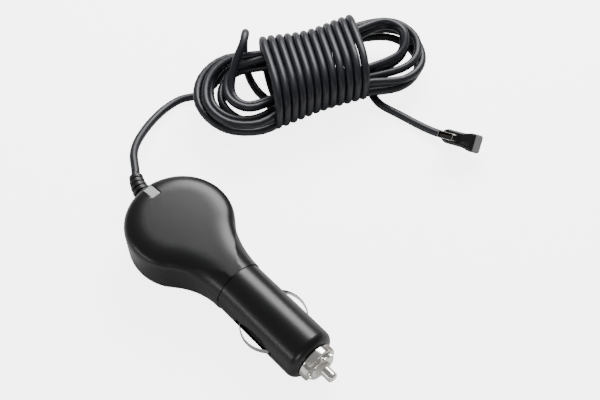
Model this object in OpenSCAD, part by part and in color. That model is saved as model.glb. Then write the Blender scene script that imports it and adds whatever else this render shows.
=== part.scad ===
// Plug-in 12 V power adapter: a paddle-shaped body, a fused nose for a vehicle's power socket, and a captive
// lead that ends in an angled mini USB plug. Millimetres. +X points to the nose and +Z up. The adapter lies
// on its flat underside at z = 0, with the origin under its middle. The lead lies beside it as a tied hank.

/* [Housing] */
// Width of the paddle across its round end
paddle_w = 43; // [40:0.5:54]
// Centre of the round end to the end of the flare
flare_l = 30; // [26:0.5:42]
// Straight neck between the flare and the barrel's step
neck_l = 4; // [2:0.5:8]
// Diameter of the barrel that enters the power socket
barrel_d = 20.8; // [20:0.1:25]
// Length of the barrel from its step to its front face
barrel_l = 41; // [34:0.5:50]
// How far the paddle's faces stand proud of the barrel
step_h = 0.1; // [0.1:0.1:1]
// Wall thickness of both housing halves
wall = 1.8; // [1.4:0.1:2.2]
// Rounding of the top edge
top_round = 4.5; // [3:0.25:5]
// Rounding of the bottom edge
bottom_round = 4.2; // [2.5:0.1:4.2]
// Rounding of the barrel's front edge
barrel_round = 3.5; // [1:0.25:4]
// Height of the seam above the underside
seam_z = 4.6; // [4.6:0.1:6]
// Length of closed barrel ahead of the lower half
sleeve_l = 11; // [9:0.5:14]

/* [Nose] */
// Diameter of the smooth cap ring
ring_d = 15; // [15:0.1:17]
// Length of the smooth cap ring
ring_l = 3.2; // [2.5:0.1:5]
// Diameter of the knurled part of the cap
knurl_d = 11.6; // [11.4:0.1:14]
// Length of the knurled part of the cap
knurl_l = 1.6; // [1.2:0.1:3]
// Teeth around the knurl
knurl_teeth = 30; // [20:1:40]
// Bush showing in front of the cap
collar_l = 0.8; // [0.4:0.1:2]
// Length of tip contact in front of the bush
tip_l = 4.9; // [4:0.1:8]
// Diameter of the tip contact
tip_d = 4.2; // [3.6:0.1:4.8]
// Spring travel of the tip contact
tip_travel = 2.5; // [1:0.1:3]
// Length of the cap's threaded spigot
spigot_l = 6.5; // [5:0.5:9]
// Pitch of the cap's thread
thread_pitch = 1; // [0.75:0.05:1.25]
// Turns that the cap makes before its thread lets go
cap_turns = 4; // [3:1:5]
// Diameter of the glass fuse
fuse_d = 6.35; // [5:0.05:7.65]
// Length of the glass fuse
fuse_l = 31.8; // [26:0.1:33]

/* [Ground springs] */
// Free length of each bow
bow_l = 18.5; // [15:0.5:22]
// How far each bow stands out of the barrel
bow_out = 2.8; // [1.5:0.1:3.5]
// Width of the spring strip
strip_w = 2.6; // [2:0.1:4]
// Thickness of the spring strip
strip_t = 0.4; // [0.3:0.05:0.6]
// Step of the barrel to the start of the bow
bow_start = 10.5; // [9:0.5:14]

/* [Electronics] */
// Width of the circuit board
board_w = 24; // [20:0.5:26]
// Thickness of the circuit board
board_t = 1.6; // [1:0.1:2]
// Height of the board's underside
board_z = 7; // [6.8:0.1:8]
// Length of the indicator lens
lens_l = 6; // [4:0.5:8]
// Width of the indicator lens
lens_w = 4; // [3:0.5:5]
// Diameter of the lead wires inside the housing
wire_d = 1.3; // [1:0.1:1.6]

/* [Lead] */
// Diameter of the lead
cord_d = 3.4; // [3:0.1:4]
// Overall length of the tied hank
hank_l = 106; // [102:1:110]
// Width of the tied hank
hank_w = 46; // [44:1:48]
// Height of the tied hank
hank_h = 28; // [26:1:32]

/* [Hidden] */
$fn = 64;

// Clearances
run_gap = 0.08;   // radial clearance of a part that turns or slides in another
seam_gap = 0.15;  // around lips, slots and inserts
free_gap = 0.3;   // between pieces that only pass each other

// Places along the adapter, from the rear rim to the end of the tip
paddle_r = paddle_w / 2;
paddle_t = barrel_d + 2 * step_h;
neck_r = paddle_t / 2;
barrel_r = barrel_d / 2;
axis_z = paddle_t / 2;
nose_l = ring_l + knurl_l + collar_l + tip_l;
rear_x = -(paddle_r + flare_l + neck_l + barrel_l + nose_l) / 2;
paddle_x = rear_x + paddle_r;
flare_x = paddle_x + flare_l;
step_x = flare_x + neck_l;
front_x = step_x + barrel_l;
tip_end_x = front_x + nose_l;
flare_r = (flare_l * flare_l + neck_r * neck_r - paddle_r * paddle_r) / (2 * (paddle_r - neck_r));
flare_angle = atan2(neck_r + flare_r, flare_l);
sleeve_x = front_x - sleeve_l;
sleeve_r = barrel_r - 0.2;
neck_proud = 0.4;   // how far the neck's corners stand out of the barrel

// Nose, worked outwards from the fuse
bush_in_r = fuse_d / 2 + 0.9;
bush_r = bush_in_r + 0.75;
cap_in_r = bush_r + run_gap;
spigot_r = cap_in_r + 1.1;
stem_r = tip_d / 2 + 0.25;
collar_r = stem_r + 0.75;
flange_t = 1.2;
bush_wall_x = front_x + 1.4;
cap_lip_x = front_x + ring_l + knurl_l - 0.8;
flange_x = bush_wall_x - flange_t;
fuse_x = flange_x - fuse_l;
spring_l = tip_travel + 4.5;
terminal_t = 0.8;
terminal_x = fuse_x - spring_l - terminal_t;
fuse_cap_l = 6;
fuse_cap_t = 0.35;
glass_r = fuse_d / 2 - fuse_cap_t - 0.02;

// Housing details
lip_t = 0.9;
boss_r = 2.6;
screw_r = 0.9;
front_screw_x = min(step_x, terminal_x) - 9;
screw_places = [[paddle_x, paddle_r - wall - boss_r - 0.1], [paddle_x, -paddle_r + wall + boss_r + 0.1],
  [front_screw_x, 0]];
relief_hole_r = 3;
relief_flange_x = rear_x + wall + 0.6;
relief_flange_t = 1.1;
slot_x = step_x + min(bow_start, barrel_l - spigot_l - bow_l - 4.5);

// The board follows the housing's outline and reaches back under the lens
board_rear_x = paddle_x - 13;
board_front_x = front_screw_x - boss_r - 2;
board_tail_x = rear_x + 4.8;
board_top = board_z + board_t;
lens_x = rear_x + 2.2;
stem_l = 3.4;

// Outline of the paddle and neck, drawn in by d: right side from the front, round the rear, and back
function half_outline(d, xf) = concat(
  [[xf, neck_r - d]],
  [for (i = [0:5]) let (a = -90 - i * (90 - flare_angle) / 5)
    [flare_x + (flare_r + d) * cos(a), neck_r + flare_r + (flare_r + d) * sin(a)]],
  [for (i = [1:21]) let (a = flare_angle + i * (180 - flare_angle) / 22)
    [paddle_x + (paddle_r - d) * cos(a), (paddle_r - d) * sin(a)]]);
function outline(d, xf) = let (h = half_outline(d, xf), n = len(h)) concat(
  h, [[paddle_x - paddle_r + d, 0]], [for (i = [n - 1:-1:0]) [h[i][0], -h[i][1]]]);

// Solid with that outline through levels of [z, draw-in], ending at xf towards the barrel
module slab(levels, xf) {
  ring = outline(0, xf);
  n = len(ring);
  half = (n - 1) / 2;
  points = [for (v = levels) for (p = outline(v[1], xf)) [p[0], p[1], v[0]]];
  top = (len(levels) - 1) * n;
  polyhedron(points, concat(
    [for (k = [0:half - 2]) [k, k + 1, n - 2 - k, n - 1 - k]],
    [[half - 1, half, half + 1]],
    [for (k = [0:half - 2]) [top + n - 1 - k, top + n - 2 - k, top + k + 1, top + k]],
    [[top + half + 1, top + half, top + half - 1]],
    [for (v = [0:len(levels) - 2]) for (k = [0:n - 1]) let (a = v * n + k, b = v * n + (k + 1) % n)
      each [[a, b + n, b], [a, a + n, b + n]]]), convexity = 6);
}

function top_levels(r, z, d) = [for (a = [0:15:90]) [z - r + r * sin(a), d + r * (1 - cos(a))]];
function bottom_levels(r, z, d) = [for (a = [90:-15:0]) [z + r - r * sin(a), d + r * (1 - cos(a))]];

// Tube of radius r along points, with its section set square to the path
function unit(v) = v / norm(v);
function tangent(p, i) = unit(p[min(i + 1, len(p) - 1)] - p[max(i - 1, 0)]);
function smooth_path(p, k) = concat([for (i = [0:len(p) - 2]) let (a = p[max(i - 1, 0)], b = p[i],
    c = p[i + 1], d = p[min(i + 2, len(p) - 1)]) for (j = [0:k - 1]) let (t = j / k)
    0.5 * (2 * b + (c - a) * t + (2 * a - 5 * b + 4 * c - d) * t * t
      + (3 * b - a - 3 * c + d) * t * t * t)], [p[len(p) - 1]]);
module tube(path, r, sides = 8, side_hint = [0, 0, 1]) {
  n = len(path);
  points = [for (i = [0:n - 1]) let (t = tangent(path, i), u = unit(cross(side_hint, t)), v = cross(t, u))
    for (s = [0:sides - 1]) path[i] + r * (cos(360 * s / sides) * u + sin(360 * s / sides) * v)];
  polyhedron(points, concat([[for (s = [0:sides - 1]) s]], [[for (s = [sides - 1:-1:0]) (n - 1) * sides + s]],
    [for (i = [0:n - 2]) for (s = [0:sides - 1]) let (a = i * sides + s, b = i * sides + (s + 1) % sides)
      each [[a, b + sides, b], [a, a + sides, b + sides]]]), convexity = 8);
}

// Turned shape about the adapter's axis: children are drawn with X as radius and Y along the axis
module turned(x) {
  translate([x, 0, axis_z]) rotate([90, 0, 90]) rotate([0, 0, 90]) rotate_extrude() children();
}
module along_x(x, l, r) {
  translate([x, 0, axis_z]) rotate([0, 90, 0]) cylinder(h = l, r = r);
}

// --- Housing ---------------------------------------------------------------

// Draws the paddle's corners in to the barrel's round section along the flare
module neck_blend(inset = 0) {
  start = rear_x - 1;
  turned(start) polygon(concat(
    [[0, 0], [2 * paddle_w, 0], [2 * paddle_w, step_x - flare_l - start]],
    [for (d = [flare_l:-flare_l / 10:0])
      [barrel_r + neck_proud - inset + d * d / (2 * flare_l), step_x - d - start]],
    [[barrel_r + neck_proud - inset, step_x + 1 - start], [0, step_x + 1 - start]]));
}

module barrel_solid() {
  turned(step_x - 1) {
    square([barrel_r, sleeve_x - step_x + 1]);
    square([sleeve_r, barrel_l + 1 - barrel_round]);
    square([sleeve_r - barrel_round, barrel_l + 1]);
    translate([sleeve_r - barrel_round, barrel_l + 1 - barrel_round]) circle(barrel_round);
  }
}

// What the lower half fills: everything under the seam, up to the closed sleeve
module below_seam(gap = 0) {
  translate([rear_x - 5, -paddle_w, -5]) cube([sleeve_x - rear_x + 5 + gap, 2 * paddle_w, seam_z + 5]);
}

module slots() {
  for (side = [-1, 1])
    translate([slot_x - free_gap, side * barrel_r - 5, axis_z - strip_w / 2 - free_gap])
      cube([bow_l + 2 * free_gap, 10, strip_w + 2 * free_gap]);
}

module fuse_ribs() {
  rib_r = fuse_d / 2 + free_gap;
  for (x = [fuse_x + 5, front_x - spigot_l - 6])
    difference() {
      translate([x, -rib_r - 1.2, seam_z + 0.6])
        cube([1.4, 2 * rib_r + 2.4, paddle_t - wall / 2 - seam_z - 0.6]);
      along_x(x - 1, 4, rib_r);
    }
}

module upper_housing() {
  inner_r = top_round - wall;
  color([0.09, 0.09, 0.1]) {
    difference() {
      union() {
        intersection() {
          slab(concat([[seam_z, 0.3], [seam_z + 0.3, 0]], top_levels(top_round, paddle_t, 0)), step_x);
          neck_blend();
        }
        difference() {
          barrel_solid();
          below_seam();
        }
      }
      intersection() {
        slab(concat([[seam_z - 1, wall]], top_levels(inner_r, paddle_t - wall, wall)), step_x - wall);
        neck_blend(wall);
      }
      along_x(step_x - wall - 1, barrel_l + wall - spigot_l - 0.5, barrel_r - wall);
      along_x(front_x - spigot_l - 3, spigot_l + 4, spigot_r + run_gap);
      along_x(rear_x - 1, wall + 4, relief_hole_r);
      slots();
      translate([lens_x - seam_gap, -lens_w / 2 - seam_gap, axis_z + 4])
        cube([lens_l + 2 * seam_gap, lens_w + 2 * seam_gap, axis_z]);
    }
    intersection() {
      fuse_ribs();
      along_x(step_x - 12, barrel_l, barrel_r - wall / 2);
    }
    for (p = screw_places)
      difference() {
        translate([p[0], p[1], seam_z]) cylinder(h = paddle_t - wall / 2 - seam_z, r = boss_r);
        translate([p[0], p[1], seam_z - 1]) cylinder(h = 9, r = screw_r + 0.05);
      }
  }
}

module lower_housing() {
  inner_r = bottom_round - wall;
  lip_top = seam_z + 1.4;
  color([0.07, 0.07, 0.08]) difference() {
    union() {
      difference() {
        union() {
          intersection() {
            slab(concat(bottom_levels(bottom_round, 0, 0), [[seam_z - 0.3, 0], [seam_z, 0.3]]), step_x);
            neck_blend();
          }
          intersection() {
            slab([[wall, wall + seam_gap], [lip_top, wall + seam_gap]], step_x - wall - seam_gap);
            neck_blend(wall + seam_gap);
          }
          intersection() {
            barrel_solid();
            below_seam(-seam_gap);
          }
        }
        intersection() {
          slab(concat(bottom_levels(inner_r, wall, wall + seam_gap + lip_t),
            [[lip_top + 1, wall + seam_gap + lip_t]]), step_x - wall - seam_gap - lip_t);
          neck_blend(wall + seam_gap + lip_t);
        }
        along_x(step_x - wall - 3, barrel_l, barrel_r - wall);
        along_x(rear_x - 1, wall + 4, 5);
      }
      for (p = screw_places)
        translate([p[0], p[1], 0.5]) cylinder(h = seam_z - 0.5, r = boss_r + 0.3);
      for (x = [board_rear_x + 3, board_front_x - 3], side = [-1, 1])
        translate([x, side * (board_w / 2 - 3), wall / 2]) cylinder(h = board_z - wall / 2, r = 1.5);
    }
    for (p = screw_places) {
      translate([p[0], p[1], -1]) cylinder(h = 3.2, r = 2.3);
      translate([p[0], p[1], -1]) cylinder(h = seam_z + 2, r = 1.2);
    }
    for (p = screw_places)
      translate([p[0], p[1], seam_z]) cylinder(h = 6, r = boss_r + seam_gap);
  }
}

module housing_screw(i) {
  color([0.25, 0.25, 0.27]) translate([screw_places[i][0], screw_places[i][1], 0]) difference() {
    union() {
      translate([0, 0, 0.8]) cylinder(h = 1.4, r = 2);
      translate([0, 0, 2.2]) cylinder(h = 8, r = screw_r);
    }
    for (a = [0, 90]) rotate(a) translate([-1.3, -0.25, 0.7]) cube([2.6, 0.5, 0.9]);
  }
}

// --- Electronics -----------------------------------------------------------

module circuit_board() {
  color([0.07, 0.32, 0.18]) difference() {
    translate([0, 0, board_z]) linear_extrude(height = board_t) intersection() {
      translate([board_tail_x, -board_w / 2]) square([board_front_x - board_tail_x, board_w]);
      polygon(outline(wall + seam_gap + lip_t + free_gap, step_x));
    }
    for (side = [-1, 1]) translate([paddle_x, side * (paddle_r - wall - boss_r), board_z - 1])
      cylinder(h = board_t + 2, r = boss_r + 0.6);
  }
}

module can(x, y, d, h) {
  color([0.1, 0.12, 0.3]) translate([x, y, board_top]) difference() {
    cylinder(h = h, r = d / 2);
    translate([0, 0, 1]) rotate_extrude() translate([d / 2 + 0.15, 0]) circle(0.5);
    for (a = [0, 90]) rotate(a) translate([-d / 3, -0.15, h - 0.2]) cube([d / 1.5, 0.3, 1]);
  }
}
module input_capacitor() can(board_front_x - 6, -6, 8, 9);
module output_capacitor() can(board_rear_x + 5, 6.5, 6.3, 8.5);

module coil_place() {
  translate([paddle_x + 3, 5, board_top]) children();
}
module inductor_core() {
  color([0.2, 0.2, 0.22]) coil_place() difference() {
    cylinder(h = 5.4, r = 4.8);
    translate([0, 0, 1.1]) rotate_extrude() translate([2.4, 0]) square([4, 3.2]);
  }
}
module inductor_winding() {
  color([0.7, 0.35, 0.15]) coil_place() translate([0, 0, 1.2]) difference() {
    cylinder(h = 3, r = 4.2);
    translate([0, 0, -1]) cylinder(h = 5, r = 2.5);
  }
}

module regulator_chip() {
  color([0.08, 0.08, 0.08]) translate([paddle_x + 1, -6.5, board_top]) {
    translate([-2.5, -2, 0.2]) cube([5, 4, 1.4]);
    for (i = [-1.5:1.5], side = [-1, 1])
      translate([i * 1.27 - 0.2, side > 0 ? 1.9 : -2.9, 0]) cube([0.4, 1, 0.5]);
  }
}
module diode() {
  color([0.1, 0.1, 0.1]) translate([board_rear_x + 5, -6.5, board_top]) {
    translate([-2.2, -1.4, 0]) cube([4.4, 2.8, 2.1]);
    for (x = [-2.7, 1.7]) translate([x, -0.8, 0]) cube([1, 1.6, 0.8]);
  }
}
module led() {
  color([0.9, 0.9, 0.8]) translate([lens_x + lens_l - stem_l / 2, 0, board_top]) {
    translate([-0.8, -1.6, 0]) cube([1.6, 3.2, 0.7]);
    translate([0, 0, 0.6]) cylinder(h = 0.5, r = 0.7);
  }
}
module led_lens() {
  color([0.85, 0.88, 0.88, 0.6]) {
    intersection() {
      translate([lens_x, -lens_w / 2, paddle_t - wall - 2]) cube([lens_l, lens_w, wall + 3]);
      slab(concat([[seam_z + 0.3, 0]], top_levels(top_round, paddle_t, 0)), step_x);
    }
    translate([lens_x + lens_l - stem_l, -1.5, board_top + 1.4])
      cube([stem_l, 3, paddle_t - wall - board_top - 2.4]);
  }
}

// Insulated wires inside the housing, from pads on the board
module wire(route, tint) {
  color(tint) tube(smooth_path(route, 3), wire_d / 2);
}
pad_z = board_top + wire_d / 2;
foot_y = barrel_r - wall - strip_t - free_gap;
module wire_supply() {
  wire([[terminal_x - 1, -2.6, axis_z - 1], [terminal_x - 4, -4.4, axis_z - 1],
    [front_screw_x, -boss_r - 1.6, axis_z], [front_screw_x - 5, -3.4, pad_z + 1],
    [board_front_x - 1.4, -1.4, pad_z]], [0.7, 0.05, 0.05]);
}
module wire_ground(side) {
  wire([[slot_x - 3.4, side * foot_y, axis_z], [step_x, side * (foot_y - 0.2), axis_z],
    [front_screw_x, side * (foot_y - 0.6), axis_z], [front_screw_x - 4, side * 8, pad_z + 1],
    [board_front_x - 1.4, side * 10, pad_z]], [0.04, 0.04, 0.04]);
}
module wire_out(side, tint) {
  wire([[relief_flange_x + relief_flange_t + 0.1, side * 2.2, axis_z - 0.4],
    [relief_flange_x + relief_flange_t + 1.1, side * 2.5, axis_z - 0.4],
    [board_tail_x + 3.4, side * 4.3, pad_z + 0.3], [board_rear_x + 2, side * 4.8, pad_z]], tint);
}

// --- Fuse, tip and cap -----------------------------------------------------

module rear_terminal() {
  color([0.8, 0.65, 0.3]) difference() {
    union() {
      along_x(terminal_x, terminal_t, fuse_d / 2 + 0.4);
      translate([terminal_x, -3.6, axis_z - 2]) cube([terminal_t, 2, 2]);
      along_x(terminal_x + terminal_t - 0.1, 1, 1.2);
    }
    along_x(terminal_x - 1, 4, 0.5);
  }
}
module contact_spring() {
  coils = 5;
  wire_r = 0.3;
  coil_r = 2.2;
  x0 = terminal_x + terminal_t + wire_r;
  path = [for (i = [0:coils * 16]) let (a = i * 22.5)
    [x0 + (spring_l - 2 * wire_r) * i / (coils * 16), coil_r * cos(a), axis_z + coil_r * sin(a)]];
  color([0.75, 0.75, 0.76]) tube(path, wire_r, 6, [1, 0, 0]);
}
module fuse_glass() {
  color([0.8, 0.9, 0.92, 0.4]) turned(fuse_x + fuse_cap_t) translate([glass_r - 0.6, 0])
    square([0.6, fuse_l - 2 * fuse_cap_t]);
}
module fuse_cap(x0, opening_to_nose) {
  end_x = opening_to_nose ? x0 : x0 + fuse_cap_l - fuse_cap_t;
  color([0.8, 0.8, 0.8]) {
    difference() {
      along_x(x0, fuse_cap_l, fuse_d / 2);
      along_x(x0 + (opening_to_nose ? fuse_cap_t : -1), fuse_cap_l + 1 - fuse_cap_t, glass_r + 0.02);
    }
    along_x(end_x, fuse_cap_t, fuse_d / 2);
  }
}
module fuse_wire() {
  color([0.7, 0.7, 0.7]) along_x(fuse_x + fuse_cap_t, fuse_l - 2 * fuse_cap_t, 0.15);
}
module tip_contact() {
  round_r = 1;
  color([0.85, 0.83, 0.78]) turned(flange_x) {
    square([bush_in_r - run_gap, flange_t]);
    square([stem_r, tip_end_x - tip_l + 0.2 - flange_x]);
    square([tip_d / 2, tip_end_x - flange_x - round_r]);
    square([tip_d / 2 - round_r, tip_end_x - flange_x]);
    translate([tip_d / 2 - round_r, tip_end_x - flange_x - round_r]) circle(round_r);
  }
}
module insulating_bush() {
  color([0.88, 0.86, 0.8]) difference() {
    union() {
      along_x(front_x - spigot_l + 1, cap_lip_x - seam_gap - front_x + spigot_l - 1, bush_r);
      along_x(cap_lip_x - 1, front_x + ring_l + knurl_l + collar_l - cap_lip_x + 1, collar_r);
    }
    along_x(front_x - spigot_l, bush_wall_x - front_x + spigot_l, bush_in_r);
    along_x(front_x, nose_l, stem_r + run_gap);
  }
}
module nose_cap() {
  slot_w = 2.6;
  color([0.82, 0.82, 0.83]) difference() {
    union() {
      along_x(front_x - spigot_l, spigot_l + 1, spigot_r);
      turned(front_x + seam_gap) {
        square([ring_d / 2, ring_l - seam_gap - 0.4]);
        square([ring_d / 2 - 0.4, ring_l - seam_gap]);
        translate([ring_d / 2 - 0.4, ring_l - seam_gap - 0.4]) circle(0.4);
      }
      along_x(front_x + ring_l - 0.5, knurl_l + 0.5, knurl_d / 2 - 0.3);
      for (i = [0:knurl_teeth - 1])
        translate([front_x + ring_l - 0.2, 0, axis_z]) rotate([i * 360 / knurl_teeth, 0, 0])
          translate([0, 0, knurl_d / 2 - 0.7]) rotate([45, 0, 0]) cube([knurl_l, 0.7, 0.7]);
    }
    for (i = [1:cap_turns])
      turned(front_x - 0.5 - i * thread_pitch)
        polygon([[spigot_r - 0.35, 0], [spigot_r + 0.1, -thread_pitch / 3], [spigot_r + 0.1, thread_pitch / 3]]);
    along_x(front_x - spigot_l - 1, cap_lip_x - front_x + spigot_l + 1, cap_in_r);
    along_x(front_x, nose_l, collar_r + run_gap);
    for (i = [0:3]) translate([front_x, 0, axis_z]) rotate([i * 90 + 48, 0, 0])
      translate([seam_gap + 0.6, -slot_w / 2, ring_d / 2 - 1.4]) cube([ring_l, slot_w, 2]);
  }
}

// Spring strip: a foot inside the barrel at each end and a bow out through the slot between them
module ground_spring(side) {
  rise = barrel_r + bow_out - foot_y;
  bow_r = (bow_l * bow_l / 4 + rise * rise) / (2 * rise);
  half_a = asin(bow_l / 2 / bow_r);
  arc = [for (i = [0:16]) let (a = 90 + half_a - i * half_a / 8)
    [slot_x + bow_l / 2 + bow_r * cos(a), foot_y + rise - bow_r + bow_r * sin(a)]];
  line = concat([[slot_x - 3, foot_y]], arc, [[slot_x + bow_l + 3, foot_y]]);
  n = len(line);
  normals = [for (i = [0:n - 1]) let (t = unit(line[min(i + 1, n - 1)] - line[max(i - 1, 0)])) [-t[1], t[0]]];
  color([0.75, 0.74, 0.7]) translate([0, 0, axis_z - strip_w / 2]) mirror([0, side < 0 ? 1 : 0, 0])
    linear_extrude(height = strip_w) polygon(concat(
      [for (i = [0:n - 1]) line[i] + normals[i] * strip_t / 2],
      [for (i = [n - 1:-1:0]) line[i] - normals[i] * strip_t / 2]));
}

// --- Lead ------------------------------------------------------------------

// The relief leaves straight back and bends to the side that the lead turns to
relief_l = 11.6;
relief_bend = 33;
relief_bend_r = relief_l / (relief_bend * PI / 180);
relief_start = rear_x - 0.3;
module on_relief(a) {
  translate([relief_start, relief_bend_r, axis_z]) rotate(-a) translate([0, -relief_bend_r, 0]) children();
}
module strain_relief() {
  bands = 5;
  groove = 0.5;
  pitch = relief_l / bands;
  color([0.06, 0.06, 0.07]) {
    along_x(relief_start - 0.5, relief_flange_x - relief_start + 0.6, relief_hole_r - 0.05);
    along_x(relief_flange_x, relief_flange_t, relief_hole_r + 1.1);
    translate([relief_start, relief_bend_r, axis_z]) rotate(-90 - relief_bend)
      rotate_extrude(angle = relief_bend) translate([relief_bend_r, 0]) circle(cord_d / 2 + 0.65);
    for (i = [0:bands - 1])
      on_relief((i + 0.5) * relief_bend / bands) rotate([0, 90, 0])
        cylinder(h = pitch - groove, r1 = 2.85 + (bands - i - 1) * 0.25, r2 = 2.95 + (bands - i - 1) * 0.25,
          center = true);
  }
}

// Route of the lead from the relief down to the surface and into the hank
exit_route = [[rear_x - 11.3, 3.3, axis_z], [rear_x - 15.5, 6, 10.3], [rear_x - 21, 9.5, 9.6],
  [rear_x - 25.5, 14, 8.3], [-83, 20, 6.6],
  [-87, 28, 4.4], [-89.8, 37, 2.6], [-89.9, 46, 1.8], [-87, 53, 1.8]];
// Where the plug takes the lead, and the route to it from the hank
plug_at = [3.5, 114.2, 4];
plug_route = [[-25.2, 108.4, 1.8], [-18, 110, 1.8], [-9, 111.6, 2.1], [-1.6, 113, 2.9], plug_at];
module cord_exit() {
  color([0.05, 0.05, 0.06]) tube(smooth_path(exit_route, 2), cord_d / 2);
}
module cord_plug_end() {
  color([0.05, 0.05, 0.06]) tube(smooth_path(plug_route, 2), cord_d / 2);
}

// Tied hank: the outer shape of its loops and wraps
hank_at = [-55.4, 92.8];
hank_turn = 69;
module cord_hank() {
  run = hank_l - hank_w;
  color([0.05, 0.05, 0.06]) translate([hank_at[0], hank_at[1], 0]) rotate(hank_turn)
    linear_extrude(height = hank_h) {
      square([run, hank_w], center = true);
      for (side = [-1, 1]) translate([side * run / 2, 0]) circle(hank_w / 2);
    }
}

// Plug: X runs on from the lead, and the shell points along +Z
plug_turn = 15;
plug_tilt = 15;
plug_roll = 40;
shell_w = 6.8;
shell_h = 3;
shell_x = 5.4;
plug_half = 4.2;
shell_out = 6.8;
module on_plug() {
  translate(plug_at) rotate(plug_turn) rotate([0, -plug_tilt, 0]) rotate([plug_roll, 0, 0]) children();
}
module rounded_bar(x, l, w, h, r) {
  hull() for (y = [-1, 1], z = [-1, 1])
    translate([x, y * (w / 2 - r), z * (h / 2 - r)]) rotate([0, 90, 0]) cylinder(h = l, r = r, $fn = 24);
}
module shell_box(grow, z0, z1) {
  translate([shell_x - shell_w / 2 - grow, -shell_h / 2 - grow, z0]) cube([shell_w + 2 * grow, shell_h + 2 * grow, z1 - z0]);
}
module plug_housing() {
  color([0.1, 0.1, 0.11]) on_plug() difference() {
    union() {
      hull() {
        rotate([0, 90, 0]) cylinder(h = 0.5, r = cord_d / 2 + 0.5, $fn = 24);
        translate([2.5, 0, 0]) rounded_bar(0, 0.5, 6.2, 2 * plug_half, 1.2);
      }
      rounded_bar(2.8, 9, 6.2, 2 * plug_half, 1.2);
      hull() {
        rounded_bar(10.5, 0.5, 6.2, 2 * plug_half, 1.2);
        rounded_bar(14, 2, 8, 10, 1.2);
      }
    }
    shell_box(0.03, 0.5, 9);
  }
}
module plug_shell() {
  color([0.8, 0.8, 0.82]) on_plug() difference() {
    shell_box(0, 0.6, plug_half + shell_out);
    shell_box(-0.3, 1, plug_half + shell_out + 1);
    for (side = [-1, 1]) translate([shell_x + side * 1.7 - 0.5, -3, plug_half + 2.4]) cube([1, 6, 1.6]);
  }
}
module plug_tongue() {
  color([0.05, 0.05, 0.05]) on_plug() {
    shell_box(-0.35, 1, plug_half);
    translate([shell_x - 2.7, -1, 1]) cube([5.4, 1.1, plug_half + 5.2]);
  }
}
module plug_contacts() {
  color([0.85, 0.7, 0.3]) on_plug() for (i = [-2:2])
    translate([shell_x + i * 0.9 - 0.2, 0.1, plug_half]) cube([0.4, 0.15, 5.8]);
}

upper_housing();
lower_housing();
housing_screw(0);  // housing_screw_1
housing_screw(1);  // housing_screw_2
housing_screw(2);  // housing_screw_3
circuit_board();
input_capacitor();
output_capacitor();
inductor_core();
inductor_winding();
regulator_chip();
diode();
led();
led_lens();
wire_supply();
wire_ground(-1);  // wire_ground_left
wire_ground(1);  // wire_ground_right
wire_out(1, [0.7, 0.05, 0.05]);  // wire_out_plus
wire_out(-1, [0.04, 0.04, 0.04]);  // wire_out_minus
rear_terminal();
contact_spring();
fuse_glass();
fuse_cap(flange_x - fuse_cap_l, false);  // fuse_cap_front
fuse_cap(fuse_x, true);  // fuse_cap_rear
fuse_wire();
tip_contact();
insulating_bush();
nose_cap();
ground_spring(-1);  // ground_spring_left
ground_spring(1);  // ground_spring_right
strain_relief();
cord_exit();
cord_hank();
cord_plug_end();
plug_housing();
plug_shell();
plug_tongue();
plug_contacts();
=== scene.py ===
from math import atan2, cos, pi, radians, sin

import bpy
from mathutils import Matrix, Vector


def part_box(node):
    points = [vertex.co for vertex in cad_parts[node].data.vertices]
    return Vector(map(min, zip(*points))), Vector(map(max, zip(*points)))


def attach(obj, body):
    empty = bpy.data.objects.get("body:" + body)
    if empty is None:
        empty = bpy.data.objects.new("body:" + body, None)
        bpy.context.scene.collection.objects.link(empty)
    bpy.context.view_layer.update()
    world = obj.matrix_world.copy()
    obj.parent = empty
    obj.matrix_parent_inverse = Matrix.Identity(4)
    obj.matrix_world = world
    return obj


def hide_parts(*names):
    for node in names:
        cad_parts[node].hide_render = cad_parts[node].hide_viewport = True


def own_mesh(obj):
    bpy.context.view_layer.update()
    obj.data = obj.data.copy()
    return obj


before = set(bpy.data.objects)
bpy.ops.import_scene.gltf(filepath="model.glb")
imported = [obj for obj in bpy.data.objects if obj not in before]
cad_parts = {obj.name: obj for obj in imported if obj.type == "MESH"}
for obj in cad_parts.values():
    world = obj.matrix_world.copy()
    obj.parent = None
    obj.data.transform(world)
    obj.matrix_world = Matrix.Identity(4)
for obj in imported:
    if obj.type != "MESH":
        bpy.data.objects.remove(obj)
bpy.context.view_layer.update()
MM = 0.001

# --- Camera and stage -------------------------------------------------------

camera_data = bpy.data.cameras.new("camera")
camera_data.lens = 59.1
camera_data.sensor_width = 36
camera = bpy.data.objects.new("camera", camera_data)
bpy.context.scene.collection.objects.link(camera)
camera.location = (0.1494, -0.1067, 0.3361)
camera.rotation_euler = (radians(34.02), 0, radians(46.79))
bpy.context.scene.camera = camera


def area_light(name, place, target, size, power):
    data = bpy.data.lights.new(name, "AREA")
    data.shape = "RECTANGLE"
    data.size, data.size_y = size
    data.energy = power
    light = bpy.data.objects.new(name, data)
    bpy.context.scene.collection.objects.link(light)
    light.location = place
    light.rotation_euler = (Vector(target) - Vector(place)).to_track_quat("-Z", "Y").to_euler()


area_light("back_softbox", (-0.23, 0.335, 0.35), (-0.02, 0, 0.02), (0.42, 0.25), 4.2)
area_light("edge_strip", (-0.2, -0.5, 0.16), (-0.02, 0, 0.01), (0.4, 0.05), 0.5)
area_light("nose_card", (0.3, -0.32, 0.2), (0.046, 0, 0.01), (0.16, 0.12), 0.35)

world = bpy.data.worlds.new("studio")
bpy.context.scene.world = world
world.use_nodes = True
world.node_tree.nodes["Background"].inputs["Color"].default_value = (1, 1, 1, 1)
world.node_tree.nodes["Background"].inputs["Strength"].default_value = 0.26


# --- Node groups and materials ----------------------------------------------

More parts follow.
